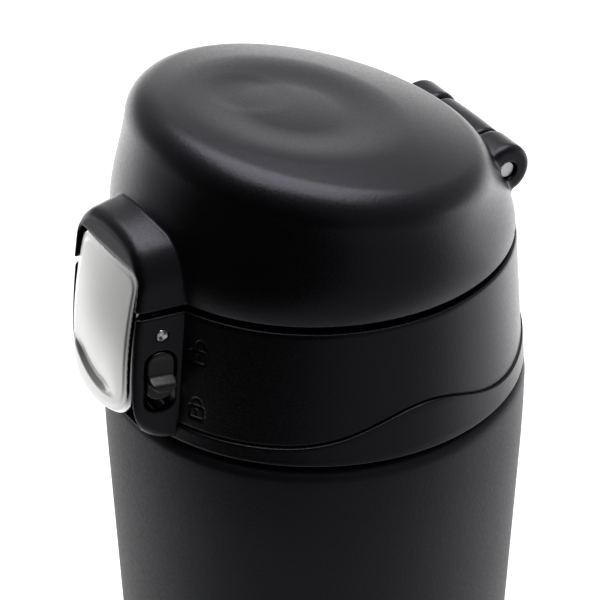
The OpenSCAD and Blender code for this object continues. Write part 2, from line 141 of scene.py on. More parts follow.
# Lock slide and latch pin
SLIDE_UP = 1.0
SLIDE_BACK = (2.15, 4.1, 2.0)  # half width, half height and corner radius
SLIDE_GRIP = (2.1, 3.1, 1.8)  # the same
SLIDE_X, SLIDE_HALF_T = 10.05, 0.55
PIN_END_R, PIN_END_T = 0.98, 0.45

# Bottle
BASE_R = 27.0
BASE_IN = 6
BASE_ROUND, BASE_ROUND_Z = 2.8, 3.8
BELLY_R = 33.26
BELLY_BOW_R = 264
BELLY_BELOW = 0.27
SHOULDER_R = 2.06
NECK_R = 26.0
NECK_H = 12.5
NECK_FILLET = 1.2
NECK_WALL = 0.8
THREAD_LEAD, THREAD_STARTS, THREAD_TURNS = 7.0, 2, 1.1
THREAD_LOW = 3.2
THREAD_FADE = 0.35
# out from the neck, and up from the middle of the thread
THREAD_FORM = ((0, -0.85), (0.75, -0.5), (1.0, -0.22), (1.08, 0), (1.0, 0.22), (0.75, 0.5), (0, 0.85))


# ---------------------------------------------------------------- mesh making

def to_object(name, points, faces, material):
    """A smooth-shaded mesh object from points in millimetres, h up from the collar."""
    mesh = bpy.data.meshes.new(name)
    metres = np.asarray(points, float) * MM + (0, 0, COLLAR_Z * MM)
    mesh.from_pydata(metres.tolist(), [], [list(map(int, f)) for f in faces])
    mesh.polygons.foreach_set("use_smooth", [True] * len(mesh.polygons))
    mesh.materials.append(material)
    mesh.update()
    piece = bpy.data.objects.new(name, mesh)
    bpy.context.scene.collection.objects.link(piece)
    return piece


CORNERS = np.array([(i, j, k) for i in (0, 1) for j in (0, 1) for k in (0, 1)])
EDGES = [(a, b) for a in range(8) for b in range(a + 1, 8)
         if np.abs(CORNERS[a] - CORNERS[b]).sum() == 1]
SETTLE_TURNS = 3


def slope_of(field, points, reach=0.02):
    """The direction in which a field grows fastest, at each point."""
    steps = np.eye(3) * reach
    return np.stack([field(points + s) - field(points - s) for s in steps], 1) / (2 * reach)


def skin(field, planes):
    """Points and quads of the surface where field is zero, on a grid of x, y and z planes."""
    axes = [np.asarray(a, float) for a in planes]
    grid = np.stack(np.meshgrid(*axes, indexing="ij"), -1)
    value = field(grid.reshape(-1, 3)).reshape(grid.shape[:3])
    inside = value < 0
    shape = np.array(inside.shape) - 1
    count = sum(inside[i:i + shape[0], j:j + shape[1], k:k + shape[2]].astype(np.int8)
                for i, j, k in CORNERS)
    live = (count > 0) & (count < 8)
    cells = np.argwhere(live)
    number = np.full(live.shape, -1)
    number[live] = np.arange(len(cells))

    at = cells[:, None, :] + CORNERS
    corner_value = value[at[..., 0], at[..., 1], at[..., 2]]
    corner_point = np.stack([axes[k][at[..., k]] for k in range(3)], -1)
    crossings = np.zeros((len(cells), 3))
    hits = np.zeros(len(cells))
    for a, b in EDGES:
        cross = (corner_value[:, a] < 0) != (corner_value[:, b] < 0)
        va, vb = corner_value[cross, a], corner_value[cross, b]
        pa, pb = corner_point[cross, a], corner_point[cross, b]
        crossings[cross] += pa + (va / (va - vb))[:, None] * (pb - pa)
        hits[cross] += 1
    points = crossings / hits[:, None]

    faces = []
    for axis in range(3):
        u, w = (axis + 1) % 3, (axis + 2) % 3
        first = np.take(inside, range(inside.shape[axis] - 1), axis)
        second = np.take(inside, range(1, inside.shape[axis]), axis)
        edge = np.argwhere(first != second)
        edge = edge[(edge[:, u] > 0) & (edge[:, w] > 0)
                    & (edge[:, u] < shape[u]) & (edge[:, w] < shape[w])]
        quad = []
        for du, dw in ((-1, -1), (0, -1), (0, 0), (-1, 0)):
            cell = edge.copy()
            cell[:, u] += du
            cell[:, w] += dw
            quad.append(number[cell[:, 0], cell[:, 1], cell[:, 2]])
        quad = np.stack(quad, 1)
        outward = first[edge[:, 0], edge[:, 1], edge[:, 2]]
        faces.append(np.where(outward[:, None], quad, quad[:, ::-1]))
    faces = np.concatenate(faces)

    reach = (corner_point[:, 7] - corner_point[:, 0]).max(1) * 0.5
    for turn in range(SETTLE_TURNS):
        if turn:
            middle = points[faces].mean(1)
            near, n = np.zeros_like(points), np.zeros(len(points))
            for k in range(4):
                np.add.at(near, faces[:, k], middle)
                np.add.at(n, faces[:, k], 1)
            points += 0.5 * (near / n[:, None] - points)
        slope = slope_of(field, points)
        step = (field(points) / np.maximum((slope ** 2).sum(1), 0.2))[:, None] * slope
        far = np.linalg.norm(step, axis=1)
        points -= step * np.minimum(1, reach / np.maximum(far, 1e-9))[:, None]
    return points, faces


def spaced(*stops):
    """Plane positions from stops of the form low, step, next stop, step, ... last stop."""
    out = [np.array([stops[0]], float)]
    for low, step, high in zip(stops[::2], stops[1::2], stops[2::2]):
        n = max(1, round((high - low) / step))
        out.append(np.linspace(low, high, n + 1)[1:])
    return np.concatenate(out)


def both_ways(*stops):
    """The planes of spaced(), mirrored about zero."""
    half = spaced(*stops)
    return np.concatenate([-half[::-1], half])


def grid_faces(rows, columns):
    """Quads of a grid of points that wraps round both ways."""
    faces = []
    for i in range(rows):
        for j in range(columns):
            a, b = i * columns + j, i * columns + (j + 1) % columns
            c, d = ((i + 1) % rows) * columns + (j + 1) % columns, ((i + 1) % rows) * columns + j
            faces.append((a, b, c, d))
    return faces


def lathe(name, outline, material, columns):
    """A turned piece from an outline of (radius, h), run counterclockwise."""
    outline = np.asarray(outline, float)
    angle = np.arange(columns) / columns * 2 * math.pi
    r = np.repeat(outline[:, :1], columns, 1)
    h = np.repeat(outline[:, 1:], columns, 1)
    points = np.stack([r * np.sin(angle), -r * np.cos(angle), h], -1).reshape(-1, 3)
    return to_object(name, points, grid_faces(len(outline), columns), material)


def arc(x, y, r, a0, a1, n):
    """Points of an arc from a0 to a1 degrees, in n steps."""
    turn = np.radians(np.linspace(a0, a1, n + 1))
    return [(x + r * math.cos(a), y + r * math.sin(a)) for a in turn]


# ---------------------------------------------------------------- distance fields

def union(a, b, r):
    """The nearer of two distances, with a fillet of about r where they meet."""
    h = np.maximum(r - np.abs(a - b), 0) / r
    return np.minimum(a, b) - h * h * r / 4


def common(a, b, r):
    """What two solids share, with its edge rounded by about r."""
    return -union(-a, -b, r)


def cut(a, b, r):
    """a without b, with the edge rounded by about r."""
    return common(a, -b, r)


def rounded(u, v, half_u, half_v, r):
    """Distance in a plane to a rounded rectangle round the origin."""
    a, b = np.abs(u) - half_u + r, np.abs(v) - half_v + r
    return np.hypot(np.maximum(a, 0), np.maximum(b, 0)) + np.minimum(np.maximum(a, b), 0) - r


def arch(x, h, half, top, r):
    """Distance in a plane to an upright shape with rounded upper corners and no lower end."""
    a, b = np.abs(x) - half + r, h - top + r
    return np.hypot(np.maximum(a, 0), np.maximum(b, 0)) + np.minimum(np.maximum(a, b), 0) - r


def block(p, low, high, r=0.01):
    """Distance to a rounded box."""
    middle = (np.array(low) + np.array(high)) / 2
    half = (np.array(high) - np.array(low)) / 2 - r
    q = np.abs(p - middle) - half
    return np.linalg.norm(np.maximum(q, 0), axis=1) + np.minimum(q.max(1), 0) - r


def rod(p, place, r):
    """Distance to an endless rod along X through (y, h)."""
    return np.hypot(p[:, 1] - place[0], p[:, 2] - place[1]) - r


def smooth(t):
    """A smooth step from 0 to 1 as t goes from 0 to 1."""
    t = np.clip(t, 0, 1)
    return t * t * (3 - 2 * t)


# ---------------------------------------------------------------- cover

def dome(p):
    """Distance to the cover's dome: a round lower edge drawn in to a tilted, rounded rim."""
    c, s = math.cos(TOP_TILT), math.sin(TOP_TILT)
    x, y, z = p[:, 0], p[:, 1] - RIM_Y, p[:, 2] - RIM_H
    y, z = y * c - z * s, y * s + z * c
    rho = np.maximum(np.hypot(x, y), 1e-6)
    ux, uy = x / rho, y / rho
    ring = 1 / np.hypot(ux / RIM_RING[0], uy / RIM_RING[1])
    # where the upright half plane through the point meets the lower edge's circle
    low = COVER_LOW - RIM_H
    offset = RIM_Y + low * s / c
    qa = ux ** 2 + (uy / c) ** 2
    qb = offset * uy / c
    edge_r = (-qb + np.sqrt(qb ** 2 - qa * (offset ** 2 - COVER_R ** 2))) / qa
    edge_z = (low + uy * edge_r * s) / c
    across, down = edge_r - ring, edge_z
    lean = np.arctan2(down, across) + np.arccos(RIM_ROUND / np.hypot(across, down))
    nx, nz = np.cos(lean), np.sin(lean)
    wx = rho - ring
    crown = ring + RIM_ROUND * math.sin(RIM_SLOPE)
    rise = CROWN_RISE * (1 - (rho / crown) ** 2) - top_depth(x, y)
    top = (z - RIM_ROUND * math.cos(RIM_SLOPE) - rise) * 0.97
    wall = np.sqrt(across ** 2 + down ** 2 - RIM_ROUND ** 2)
    along = (wx * nz - z * nx) / wall
    bulge = SIDE_BULGE * np.clip(wall / BULGE_SPAN, 0, 1) ** 2
    bulge = bulge * along ** 2 * np.clip(1 - along, -0.2, 1)
    side = np.where(along < 0, np.hypot(wx, z) - RIM_ROUND, wx * nx + z * nz - RIM_ROUND - bulge)
    return np.where(rho < crown, top, side)


def top_depth(x, y):
    """Depth of the shallow oval dish in the crowned top, and of the thumb dimple in it."""
    from_dish = np.hypot((x - DISH[0]) / DISH[2], (y - DISH[1]) / DISH[3])
    dish = DISH_DEPTH * smooth((1.12 - from_dish) * 1.5)
    from_dimple = np.hypot(x - DIMPLE[0], y - DIMPLE[1]) / DIMPLE[2]
    return dish + DIMPLE[3] * smooth((1 - from_dimple) * 2.2)


def half_w(y):
    """Half the width of the latch housing and of the hood at depth y."""
    return HOUSING_W + HOUSING_TAPER * (y - HOUSING_Y)


def hood(p):
    """Distance to the hood over the upper half of the push plate."""
    x, y, h = p.T
    top = HOOD_TOP + HOOD_SLOPE * np.minimum(y + 30, 0)
    side = arch(x, h + HOOD_CROWN * x ** 2, half_w(y), top, HOOD_ROUND)
    front = HOOD_FRONT + HOOD_LEAN * (h - COVER_LOW) - y
    return np.maximum(common(side, front, 1.7), y - HOOD_BACK)


def ears(p):
    """Distance to the two hinge ears."""
    middle, half = (EAR_OUT + EAR_IN) / 2, (EAR_OUT - EAR_IN) / 2
    return common(rod(p, HINGE, EAR_R), np.abs(np.abs(p[:, 0]) - middle) - half, 1.2)


def cover_field(p):
    """Distance to the cover's shell, with the button's pocket, the catch and the room for the hinge."""
    x, y, h = p.T
    body = dome(p)
    shape = union(union(body, hood(p), 0.35), ears(p), 0.8)
    shape = common(shape, COVER_LOW - h, 0.3)
    hollow = np.maximum(body + COVER_WALL, -ears(p))
    shape = cut(shape, hollow, 0.5)
    pocket = common(arch(x, h, CHEEK_IN, ROOF_H, ROOF_ROUND), y - ROOF_Y, 0.3)
    shape = cut(shape, np.maximum(pocket, -block(p, *CATCH, 0.3)), 0.3)
    gap = block(p, (-EAR_IN, 18, COVER_LOW - 3), (EAR_IN, 40, HINGE[1]))
    gap = np.minimum(gap, np.maximum(rod(p, HINGE, KNUCKLE_R + KNUCKLE_GAP), np.abs(x) - EAR_IN))
    behind = block(p, (-EAR_IN, HINGE[0] + 1.5, HINGE[1] - 1), (EAR_IN, 40, HINGE[1] + KNUCKLE_R))
    gap = np.minimum(gap, behind)
    shape = cut(shape, gap, 0.25)
    swing = np.maximum(block(p, (-20, 20, 20), (20, 40, COVER_LOW + 2)), -rod(p, HINGE, SWING_R))
    shape = cut(shape, swing, 0.3)
    return np.maximum(shape, -rod(p, HINGE, HINGE_PIN_R + 0.3))


def make_cover(material):
    planes = (both_ways(0.15, 0.3, 13.8, 0.42, 31.8),
              spaced(-37.4, 0.25, -27, 0.42, 21, 0.3, 31.8),
              spaced(23.0, 0.17, 24.4, 0.32, 35, 0.42, 49))
    piece = to_object("cover_shell", *skin(cover_field, planes), material)
    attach(piece, "cover")
    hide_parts("cover")


# ---------------------------------------------------------------- collar

def wave_h(y):
    """Height of the collar's wavy seam at depth y."""
    side = SIDE_WAVE * np.exp(-(y / SIDE_WAVE_W) ** 2)
    back = BACK_WAVE * np.exp(-((y - COLLAR_R) / BACK_WAVE_W) ** 2)
    return SEAM_H + side + back


def wall_r(h):
    """Radius of the collar's wall above its seam."""
    low = COLLAR_R - BAND_LIFT
    return low + (COLLAR_TOP_R - low) * h / COLLAR_H


def padlock(u, v, opened):
    """Distance to the lines of a padlock sign about 3 mm wide."""
    body = np.abs(rounded(u, v + 0.75, 1.35, 1.05, 0.45))
    reach = 0.45 if opened else 0
    side = 0.55 if opened else 0
    arch_line = np.where(v > 0.75 + reach, np.abs(np.hypot(u - side, v - 0.75 - reach) - 0.85),
                         np.abs(np.abs(u - side) - 0.85))
    low_end = np.where(u - side > 0, 0.9 if opened else 0.3, 0.3)
    arch_line = np.where(v < low_end, 9, arch_line)
    key = np.hypot(u, np.maximum(np.abs(v + 0.75) - 0.35, 0))
    return np.minimum(np.minimum(body, arch_line), key)


def make_collar_ring(material):
    """The collar's wall: its raised wavy band, its seam, two padlock signs and rounded lips."""
    fine = np.arange(21.9, 29.5, 0.24)
    turns = np.radians(np.concatenate([fine, np.arange(30, 381.6, 1.2)]))
    y = -COLLAR_R * np.cos(turns)
    seam = wave_h(y)
    rows = []
    inner = [(COLLAR_INNER_R, 12), (COLLAR_INNER_R, 1), (COLLAR_INNER_R, INNER_EDGE)]
    lower = arc(COLLAR_INNER_R + INNER_EDGE, INNER_EDGE, INNER_EDGE, 180, 270, 3)
    for r, h in inner + lower + arc(COLLAR_R - LOW_EDGE, LOW_EDGE, LOW_EDGE, -90, 0, 5):
        rows.append((r + 0 * y, h + 0 * y))
    for t in np.linspace(0, 1, 7)[1:]:
        h = LOW_EDGE + t * (seam - 0.62)
        rows.append((wall_r(h) + BAND_LIFT, h))
    for away, out in SEAM_STEPS:
        rows.append((wall_r(seam + away) + out * BAND_LIFT, seam + away))
    top, above_seam = COLLAR_H - TOP_EDGE, SEAM_STEPS[-1][0]
    share = np.concatenate([np.linspace(0.02, 0.09, 4), np.arange(0.1, 0.34, 0.008),
                            np.linspace(0.35, 0.56, 8), np.arange(0.57, 0.83, 0.008),
                            np.linspace(0.84, 1, 7)])
    for t in share:
        h = seam + above_seam + t * (top - seam - above_seam)
        out = 0
        for sign_h, opened in SIGNS:
            line = padlock((turns - SIGN_ANGLE) * COLLAR_R, h - sign_h, opened)
            out = out - SIGN_DEPTH * smooth((0.26 - line) / 0.2)
        rows.append((wall_r(h) + out, h))
    lip = [(29.0, COLLAR_H), (26, COLLAR_H), (OPENING_R + INNER_EDGE, COLLAR_H),
           (OPENING_R, COLLAR_H - INNER_EDGE), (OPENING_R, COLLAR_H - LIP_H), (29.3, COLLAR_H - LIP_H),
           (COLLAR_INNER_R - 1.4, COLLAR_H - LIP_H)]
    for r, h in arc(COLLAR_TOP_R - TOP_EDGE, top, TOP_EDGE, 12, 90, 5) + lip:
        rows.append((r + 0 * y, h + 0 * y))
    r, h = (np.array(v) for v in zip(*rows))
    points = np.stack([r * np.sin(turns), -r * np.cos(turns), h], -1)
    in_pocket = (np.abs(points[..., 0]) < CHEEK_IN) & (points[..., 2] > POCKET_LOW - 0.4)
    points[..., 1] = np.where(in_pocket, np.maximum(points[..., 1], POCKET_Y), points[..., 1])
    piece = to_object("collar_wall", points.reshape(-1, 3), grid_faces(len(rows), len(turns)), material)
    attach(piece, "lid")
    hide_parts("collar")


def flank_y(h):
    """Front of the latch housing at height h: a bowed face over a round foot."""
    upper = FLANK_Y + FLANK_BOW * (h - FOOT_TOP) ** 2
    drop = np.clip(FOOT_TOP - h, 0, FOOT_H) / FOOT_H
    foot = FOOT_Y - FOOT_REACH * np.sqrt(np.clip(1 - drop ** 2.7, 1e-4, 1))
    return np.where(h > FOOT_TOP, upper, foot)


def in_slot(p):
    """Distance across to the lock's slot, in its own leaning frame."""
    c, s = math.cos(SLOT_LEAN), math.sin(SLOT_LEAN)
    y, h = p[:, 1] - SLOT[0], p[:, 2] - SLOT[1]
    u, v = y * c - h * s, y * s + h * c
    return rounded(u, v, SLOT_SIZE[0] / 2, SLOT_SIZE[1] / 2, SLOT_ROUND)


def housing_field(p):
    """Distance to the latch housing: its pocket, the lock's slot and the latch pin's hole are cut in it."""
    x, y, h = p.T
    slope = (flank_y(h + 0.05) - flank_y(h - 0.05)) / 0.1
    front = (flank_y(h) - y) / np.sqrt(1 + slope ** 2)
    shape = common(front, np.abs(x) - half_w(y), HOUSING_ROUND)
    shape = common(shape, h - COLLAR_H, 0.4)
    shape = np.maximum(shape, 0.2 - h)
    shape = np.maximum(shape, wall_r(h) - 2.0 - np.hypot(x, y))
    pocket = block(p, (-CHEEK_IN, -50, POCKET_LOW), (CHEEK_IN, POCKET_Y, 40), 0.6)
    shape = cut(shape, pocket, 0.3)
    slot = np.maximum(in_slot(p), 7 - x)
    shape = cut(shape, slot, 0.35)
    hole = np.maximum(rod(p, LATCH, 1.05), 7 - np.abs(x))
    return cut(shape, hole, 0.15)


def make_housing(material):
    planes = (both_ways(0.2, 0.4, 8.0, 0.15, 11.1), spaced(-38.4, 0.18, -27.4),
              spaced(-0.4, 0.22, 23.0))
    piece = to_object("latch_housing", *skin(housing_field, planes), material)
    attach(piece, "lid")


def knuckle_field(p):
    """Distance to the hinge knuckle: a slightly barrelled round on a stem that stands on the collar."""
    x, h = p[:, 0], p[:, 2]
    crown = 0.12 * (1 - (x / KNUCKLE_W) ** 2)
    barrel = rod(p, HINGE, KNUCKLE_R - 0.12) - crown
    stem = block(p, (-9, HINGE[0] - 3.5, COLLAR_H - 3), (9, HINGE[0] + 3.2, HINGE[1]), 0.4)
    shape = common(union(barrel, stem, 0.6), np.abs(x) - KNUCKLE_W, 0.7)
    shape = np.maximum(shape, COLLAR_H - 1.5 - h)
    return np.maximum(shape, -rod(p, HINGE, HINGE_PIN_R + 0.05))


def make_knuckle(material):
    planes = (both_ways(0.14, 0.28, 6.5), spaced(22.8, 0.24, 31.6), spaced(20.4, 0.26, 34.4))
    piece = to_object("hinge_knuckle", *skin(knuckle_field, planes), material)
    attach(piece, "lid")


# ---------------------------------------------------------------- button and lock

def plate_front(x, h):
    """Distance in front view to the plate's outline: square shoulders over a bowed foot."""
    bow = np.hypot(x, h - PLATE_LOW - PLATE_FOOT_R) - PLATE_FOOT_R
    foot = np.where(h < PLATE_LOW + PLATE_FOOT_R, bow, -9)
    shape = common(np.abs(x) - PLATE_W, h - PLATE_HIGH, SHOULDER_ROUND)
    return common(shape, foot, PLATE_FOOT_ROUND)


def plate_edge_y(h):
    """Depth of the plate's side edges at height h."""
    return PLATE_EDGE_Y + (h - PLATE_MID) ** 2 / (2 * PLATE_BOW_R)


def plate_y(x, h):
    """Front face of the plate: crowned across, bowed from top to bottom, with a dent and a sunk border."""
    crown = PLATE_CROWN * (0.45 + 0.55 * smooth((PLATE_HIGH - h) / 14)) * (1 - (x / PLATE_W) ** 2)
    dent_line = h - DENT_H - 0.035 * (x - 2) ** 2
    dent = DENT_DEPTH * np.exp(-np.maximum(dent_line, 0) / 2.6) * smooth((dent_line + 1.3) / 1.3)
    dent = dent * smooth(1.5 - np.abs(x + 1.8) / 5.4)
    border = BORDER_SINK * smooth((plate_front(x, h) + 1.5) / 0.6)
    return plate_edge_y(h) - crown + dent + border


def plate_field(p):
    """Distance to the push plate."""
    x, y, h = p.T
    shape = common(plate_front(x, h), plate_y(x, h) - y, 0.8)
    back = y - plate_edge_y(h) - PLATE_T + 0.25
    return common(shape, back, 0.4)


def make_plate(material, rim_material):
    planes = (both_ways(0.1, 0.2, 9.4), spaced(-39.4, 0.15, -33.6), spaced(2.9, 0.19, 29.7))
    points, faces = skin(plate_field, planes)
    piece = to_object("push_plate", points, faces, material)
    piece.data.materials.append(rim_material)
    edge = plate_front(points[:, 0], points[:, 2])
    rim = (edge[faces] > -RIM_W).all(1)
    piece.data.polygons.foreach_set("material_index", rim.astype(np.int32))
    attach(piece, "button")
    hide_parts("button_plate")


def slide_field(p):
    """The lock's slide: a rounded back, a scooped thumb rest, a ridge and a tongue under it."""
    c, s = math.cos(SLOT_LEAN), math.sin(SLOT_LEAN)
    y, h = p[:, 1] - SLOT[0], p[:, 2] - SLOT[1]
    u, v = y * c - h * s, y * s + h * c - SLIDE_UP
    x = p[:, 0] - HOUSING_TAPER * u
    back = common(rounded(u, v, *SLIDE_BACK), np.abs(x - SLIDE_X) - SLIDE_HALF_T, 0.3)
    scoop = 10.5 + 1.75 * smooth((0.6 - v) / 1.7) + 0.2 * smooth((v - 2.4) / 1.2)
    grip = common((x - scoop) * 0.8, rounded(u, v - 1.0, *SLIDE_GRIP), 0.4)
    grip = common(grip, -1.55 - v - 0.35 * (x - 10.5), 0.35)
    return union(back, np.maximum(grip, 9.5 - x), 0.15)


def pin_end_field(p):
    """The latch pin's peened end: a low dome with a few hammer marks."""
    u, v = p[:, 1] - LATCH[0], p[:, 2] - LATCH[1]
    marks = 0.12 * np.sin(2.9 * u + 1.3) * np.sin(2.6 * v - 0.6) + 0.04 * np.sin(4.3 * (u + v))
    edge = half_w(LATCH[0])
    face = edge + 0.12 - 0.12 * (u ** 2 + v ** 2) + marks
    return np.maximum(common(np.hypot(u, v) - PIN_END_R, p[:, 0] - face, 0.15), edge - PIN_END_T - p[:, 0])


def make_pin_end(material):
    edge = half_w(LATCH[0])
    planes = (spaced(edge - 0.7, 0.06, edge + 0.5), spaced(LATCH[0] - 1.2, 0.06, LATCH[0] + 1.2),
              spaced(LATCH[1] - 1.2, 0.06, LATCH[1] + 1.2))
    piece = to_object("latch_pin_end", *skin(pin_end_field, planes), material)
    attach(piece, "lid")


def make_slide(material):
    planes = (spaced(8.8, 0.1, 12.9), spaced(SLOT[0] - 2.8, 0.11, SLOT[0] + 2.8), spaced(6.6, 0.11, 16.8))
    piece = to_object("lock_thumb_slide", *skin(slide_field, planes), material)
    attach(piece, "lock")
    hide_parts("lock_slide")


# ---------------------------------------------------------------- bottle

def side_r(z):
    """Radius of the bottle's straight side at height z above its base."""
    low, high = BASE_ROUND_Z, COLLAR_Z - 16
    return BASE_R + (BELLY_R - BELLY_BELOW - BASE_R) * (z - low) / (high - low)


def make_bottle(material):
    """The outer shell: round base edge, slow taper, rounded belly, shoulder and neck."""
    foot = [(BASE_R - BASE_IN, 1.0)] + arc(BASE_R - BASE_ROUND, BASE_ROUND_Z, BASE_ROUND, -90, 0, 8)
    side = [(side_r(z), z) for z in np.linspace(10, COLLAR_Z - 18, 24)]
    belly = arc(BELLY_R - BELLY_BOW_R, COLLAR_Z - 4, BELLY_BOW_R, -2.6, 0, 8)
    shoulder = arc(BELLY_R - SHOULDER_R, COLLAR_Z - 2.81, SHOULDER_R, 0, 90, 10)
    neck = arc(NECK_R + NECK_FILLET, COLLAR_Z + 0.45, NECK_FILLET, 270, 180, 5)
    inside = [(NECK_R, COLLAR_Z + NECK_H), (NECK_R - NECK_WALL, COLLAR_Z + NECK_H),
              (NECK_R - NECK_WALL, COLLAR_Z), (BELLY_R - 3, COLLAR_Z - 4), (BASE_R - 1.2, 6),
              (BASE_R - BASE_IN, 1.8)]
    outline = foot + side + belly + shoulder + neck + inside
    outline = [(r, z - COLLAR_Z) for r, z in outline]
    piece = lathe("bottle_shell", outline, material, columns=288)
    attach(piece, "bottle")
    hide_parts("outer_shell")


def make_thread(material):
    """The rounded thread round the bottle's neck, tapering out at both ends."""
    turns = np.linspace(0, THREAD_TURNS * 2 * math.pi, 160)
    ends = smooth(np.minimum(turns, turns[-1] - turns) / THREAD_FADE)
    points, faces = [], []
    for start in range(THREAD_STARTS):
        angle = turns + start * 2 * math.pi / THREAD_STARTS
        h = THREAD_LOW + THREAD_LEAD * turns / (2 * math.pi)
        rows = [(NECK_R - 0.1 + out * ends, h + up) for out, up in THREAD_FORM]
        strip = np.stack([np.stack([r * np.sin(angle), -r * np.cos(angle), z], -1) for r, z in rows])
        first = start * strip.shape[0] * strip.shape[1]
        wrap = [[first + v for v in face] for face in grid_faces(len(rows), len(turns))]
        faces += [face for i, face in enumerate(wrap) if i % len(turns) != len(turns) - 1]
        points.append(strip.reshape(-1, 3))
    piece = to_object("neck_thread", np.concatenate(points), faces, material)
    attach(piece, "bottle")


# ---------------------------------------------------------------- materials

def tree_of(name):
    """A new material with a Principled shader: itself, its tree, its shader and object coordinates."""
    material = bpy.data.materials.new(name)
    material.use_nodes = True
    tree = material.node_tree
    tree.nodes.clear()
    out = tree.nodes.new("ShaderNodeOutputMaterial")
    shader = tree.nodes.new("ShaderNodeBsdfPrincipled")
    tree.links.new(shader.outputs[0], out.inputs[0])
    coords = tree.nodes.new("ShaderNodeTexCoord")
    return material, tree, shader, coords.outputs["Object"]


def noise(tree, coords, size, detail, rough=0.5):
    """A noise texture whose grains are about size metres across."""
    node = tree.nodes.new("ShaderNodeTexNoise")
    node.inputs["Scale"].default_value = 1 / size
    node.inputs["Detail"].default_value = detail
    node.inputs["Roughness"].default_value = rough
    tree.links.new(coords, node.inputs["Vector"])
    return node.outputs["Fac"]


def ramp(tree, value, low, high):
    """A value spread between two numbers or two colours."""
    node = tree.nodes.new("ShaderNodeValToRGB")
    for element, colour in zip(node.color_ramp.elements, (low, high)):
        tone = colour if hasattr(colour, "__len__") else (colour,) * 3
        element.color = (*tone, 1)
    node.color_ramp.elements[0].position = 0.3
    node.color_ramp.elements[1].position = 0.7
    tree.links.new(value, node.inputs[0])
    return node.outputs[0]


def bump(tree, height, depth):
    """Normals that follow a height, depth metres deep."""
    node = tree.nodes.new("ShaderNodeBump")
    node.inputs["Distance"].default_value = depth
    node.inputs["Strength"].default_value = 1.0
    tree.links.new(height, node.inputs["Height"])
    return node.outputs[0]


def finish_of(name, colours, roughness, grain, grain_depth, metallic=0.0, specular=0.5, tint=(1, 1, 1)):
    """A moulded, painted or metal finish: uneven tone, uneven roughness and a fine grain."""
    material, tree, shader, coords = tree_of(name)
    broad = noise(tree, coords, TONE_SIZE, 3)
    fine = noise(tree, coords, grain, 2, 0.6)
    tree.links.new(ramp(tree, broad, *colours), shader.inputs["Base Color"])
    tree.links.new(ramp(tree, fine, *roughness), shader.inputs["Roughness"])
    tree.links.new(bump(tree, fine, grain_depth), shader.inputs["Normal"])
    shader.inputs["Metallic"].default_value = metallic
    shader.inputs["Specular IOR Level"].default_value = specular
    shader.inputs["Specular Tint"].default_value = (*tint, 1)
    return material


TONE_SIZE = 0.012

PLASTIC = finish_of("moulded_plastic", ((0.0025, 0.0025, 0.003), (0.0038, 0.0038, 0.0045)),
                    (0.3, 0.39), 0.00045, 0.00002, specular=0.36, tint=(0.86, 0.84, 1))
COAT = finish_of("powder_coat", ((0.005, 0.005, 0.006), (0.007, 0.007, 0.0085)),
                 (0.44, 0.54), 0.0005, 0.00003, specular=0.33, tint=(0.86, 0.84, 1))
GLOSS = finish_of("gloss_plastic", ((0.004, 0.004, 0.004), (0.007, 0.007, 0.007)),
                  (0.24, 0.32), 0.0008, 0.000008)
SATIN = finish_of("satin_silver", ((0.74, 0.74, 0.73), (0.78, 0.78, 0.77)),
                  (0.3, 0.36), 0.0003, 0.000008, metallic=1.0)
CHROME = finish_of("polished_rim", ((0.8, 0.8, 0.8), (0.85, 0.85, 0.85)), (0.06, 0.1), 0.0008, 0.000004,
                   metallic=1.0)
PIN = finish_of("pin_steel", ((0.8, 0.8, 0.8), (0.92, 0.92, 0.92)), (0.28, 0.42), 0.0004, 0.00004,
                metallic=1.0)
STEEL = finish_of("brushed_steel", ((0.55, 0.55, 0.55), (0.68, 0.68, 0.68)), (0.25, 0.38), 0.0006, 0.00001,
                  metallic=1.0)
COPPER = finish_of("copper_foil", ((0.6, 0.34, 0.22), (0.78, 0.48, 0.34)), (0.15, 0.3), 0.002, 0.00005,
                   metallic=1.0)
SILICONE = finish_of("silicone", ((0.30, 0.31, 0.33), (0.36, 0.37, 0.39)), (0.5, 0.6), 0.0006, 0.00001)
RUBBER = finish_of("base_rubber", ((0.012, 0.012, 0.012), (0.02, 0.02, 0.02)), (0.6, 0.75), 0.0006, 0.00003)

NODE_FINISH = {
    "outer_shell": COAT, "inner_liner": STEEL, "radiation_foil": COPPER, "bottom_plate": STEEL,
    "vacuum_seal": STEEL, "getter_capsule": STEEL, "base_pad": RUBBER, "stopper_seal": SILICONE,
    "collar": PLASTIC, "stopper_body": PLASTIC, "spout": PLASTIC, "spout_seal": SILICONE,
    "hinge_pin": PIN, "hinge_spring": PIN, "latch_pin": PIN, "button_spring": PIN, "cover": PLASTIC,
    "cover_liner": PLASTIC, "seal_holder": PLASTIC, "cover_seal": SILICONE, "button_plate": SATIN,
    "button_lever": PLASTIC, "lock_slide": GLOSS, "lock_bar": GLOSS}
for node, finish in NODE_FINISH.items():
    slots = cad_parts[node].data.materials
    slots.clear()
    slots.append(finish)

make_cover(PLASTIC)
make_collar_ring(PLASTIC)
make_housing(PLASTIC)
make_knuckle(PLASTIC)
make_plate(SATIN, CHROME)
make_slide(GLOSS)
make_pin_end(PIN)
make_bottle(COAT)
make_thread(COAT)

# ---------------------------------------------------------------- camera, light and floor

VIEW_AZIMUTH, VIEW_ELEVATION = math.radians(58.5), math.radians(32.3)
DISTANCE = 0.5
LENS = 192.24
SHIFT = -0.0233333333
AIM = Vector((0, 0, 0.15876))
BACK = Vector((math.sin(VIEW_AZIMUTH) * math.cos(VIEW_ELEVATION),
               -math.cos(VIEW_AZIMUTH) * math.cos(VIEW_ELEVATION), math.sin(VIEW_ELEVATION)))
LEFT = (0, -1)
FAR_LEFT = (-0.75, 0.66)

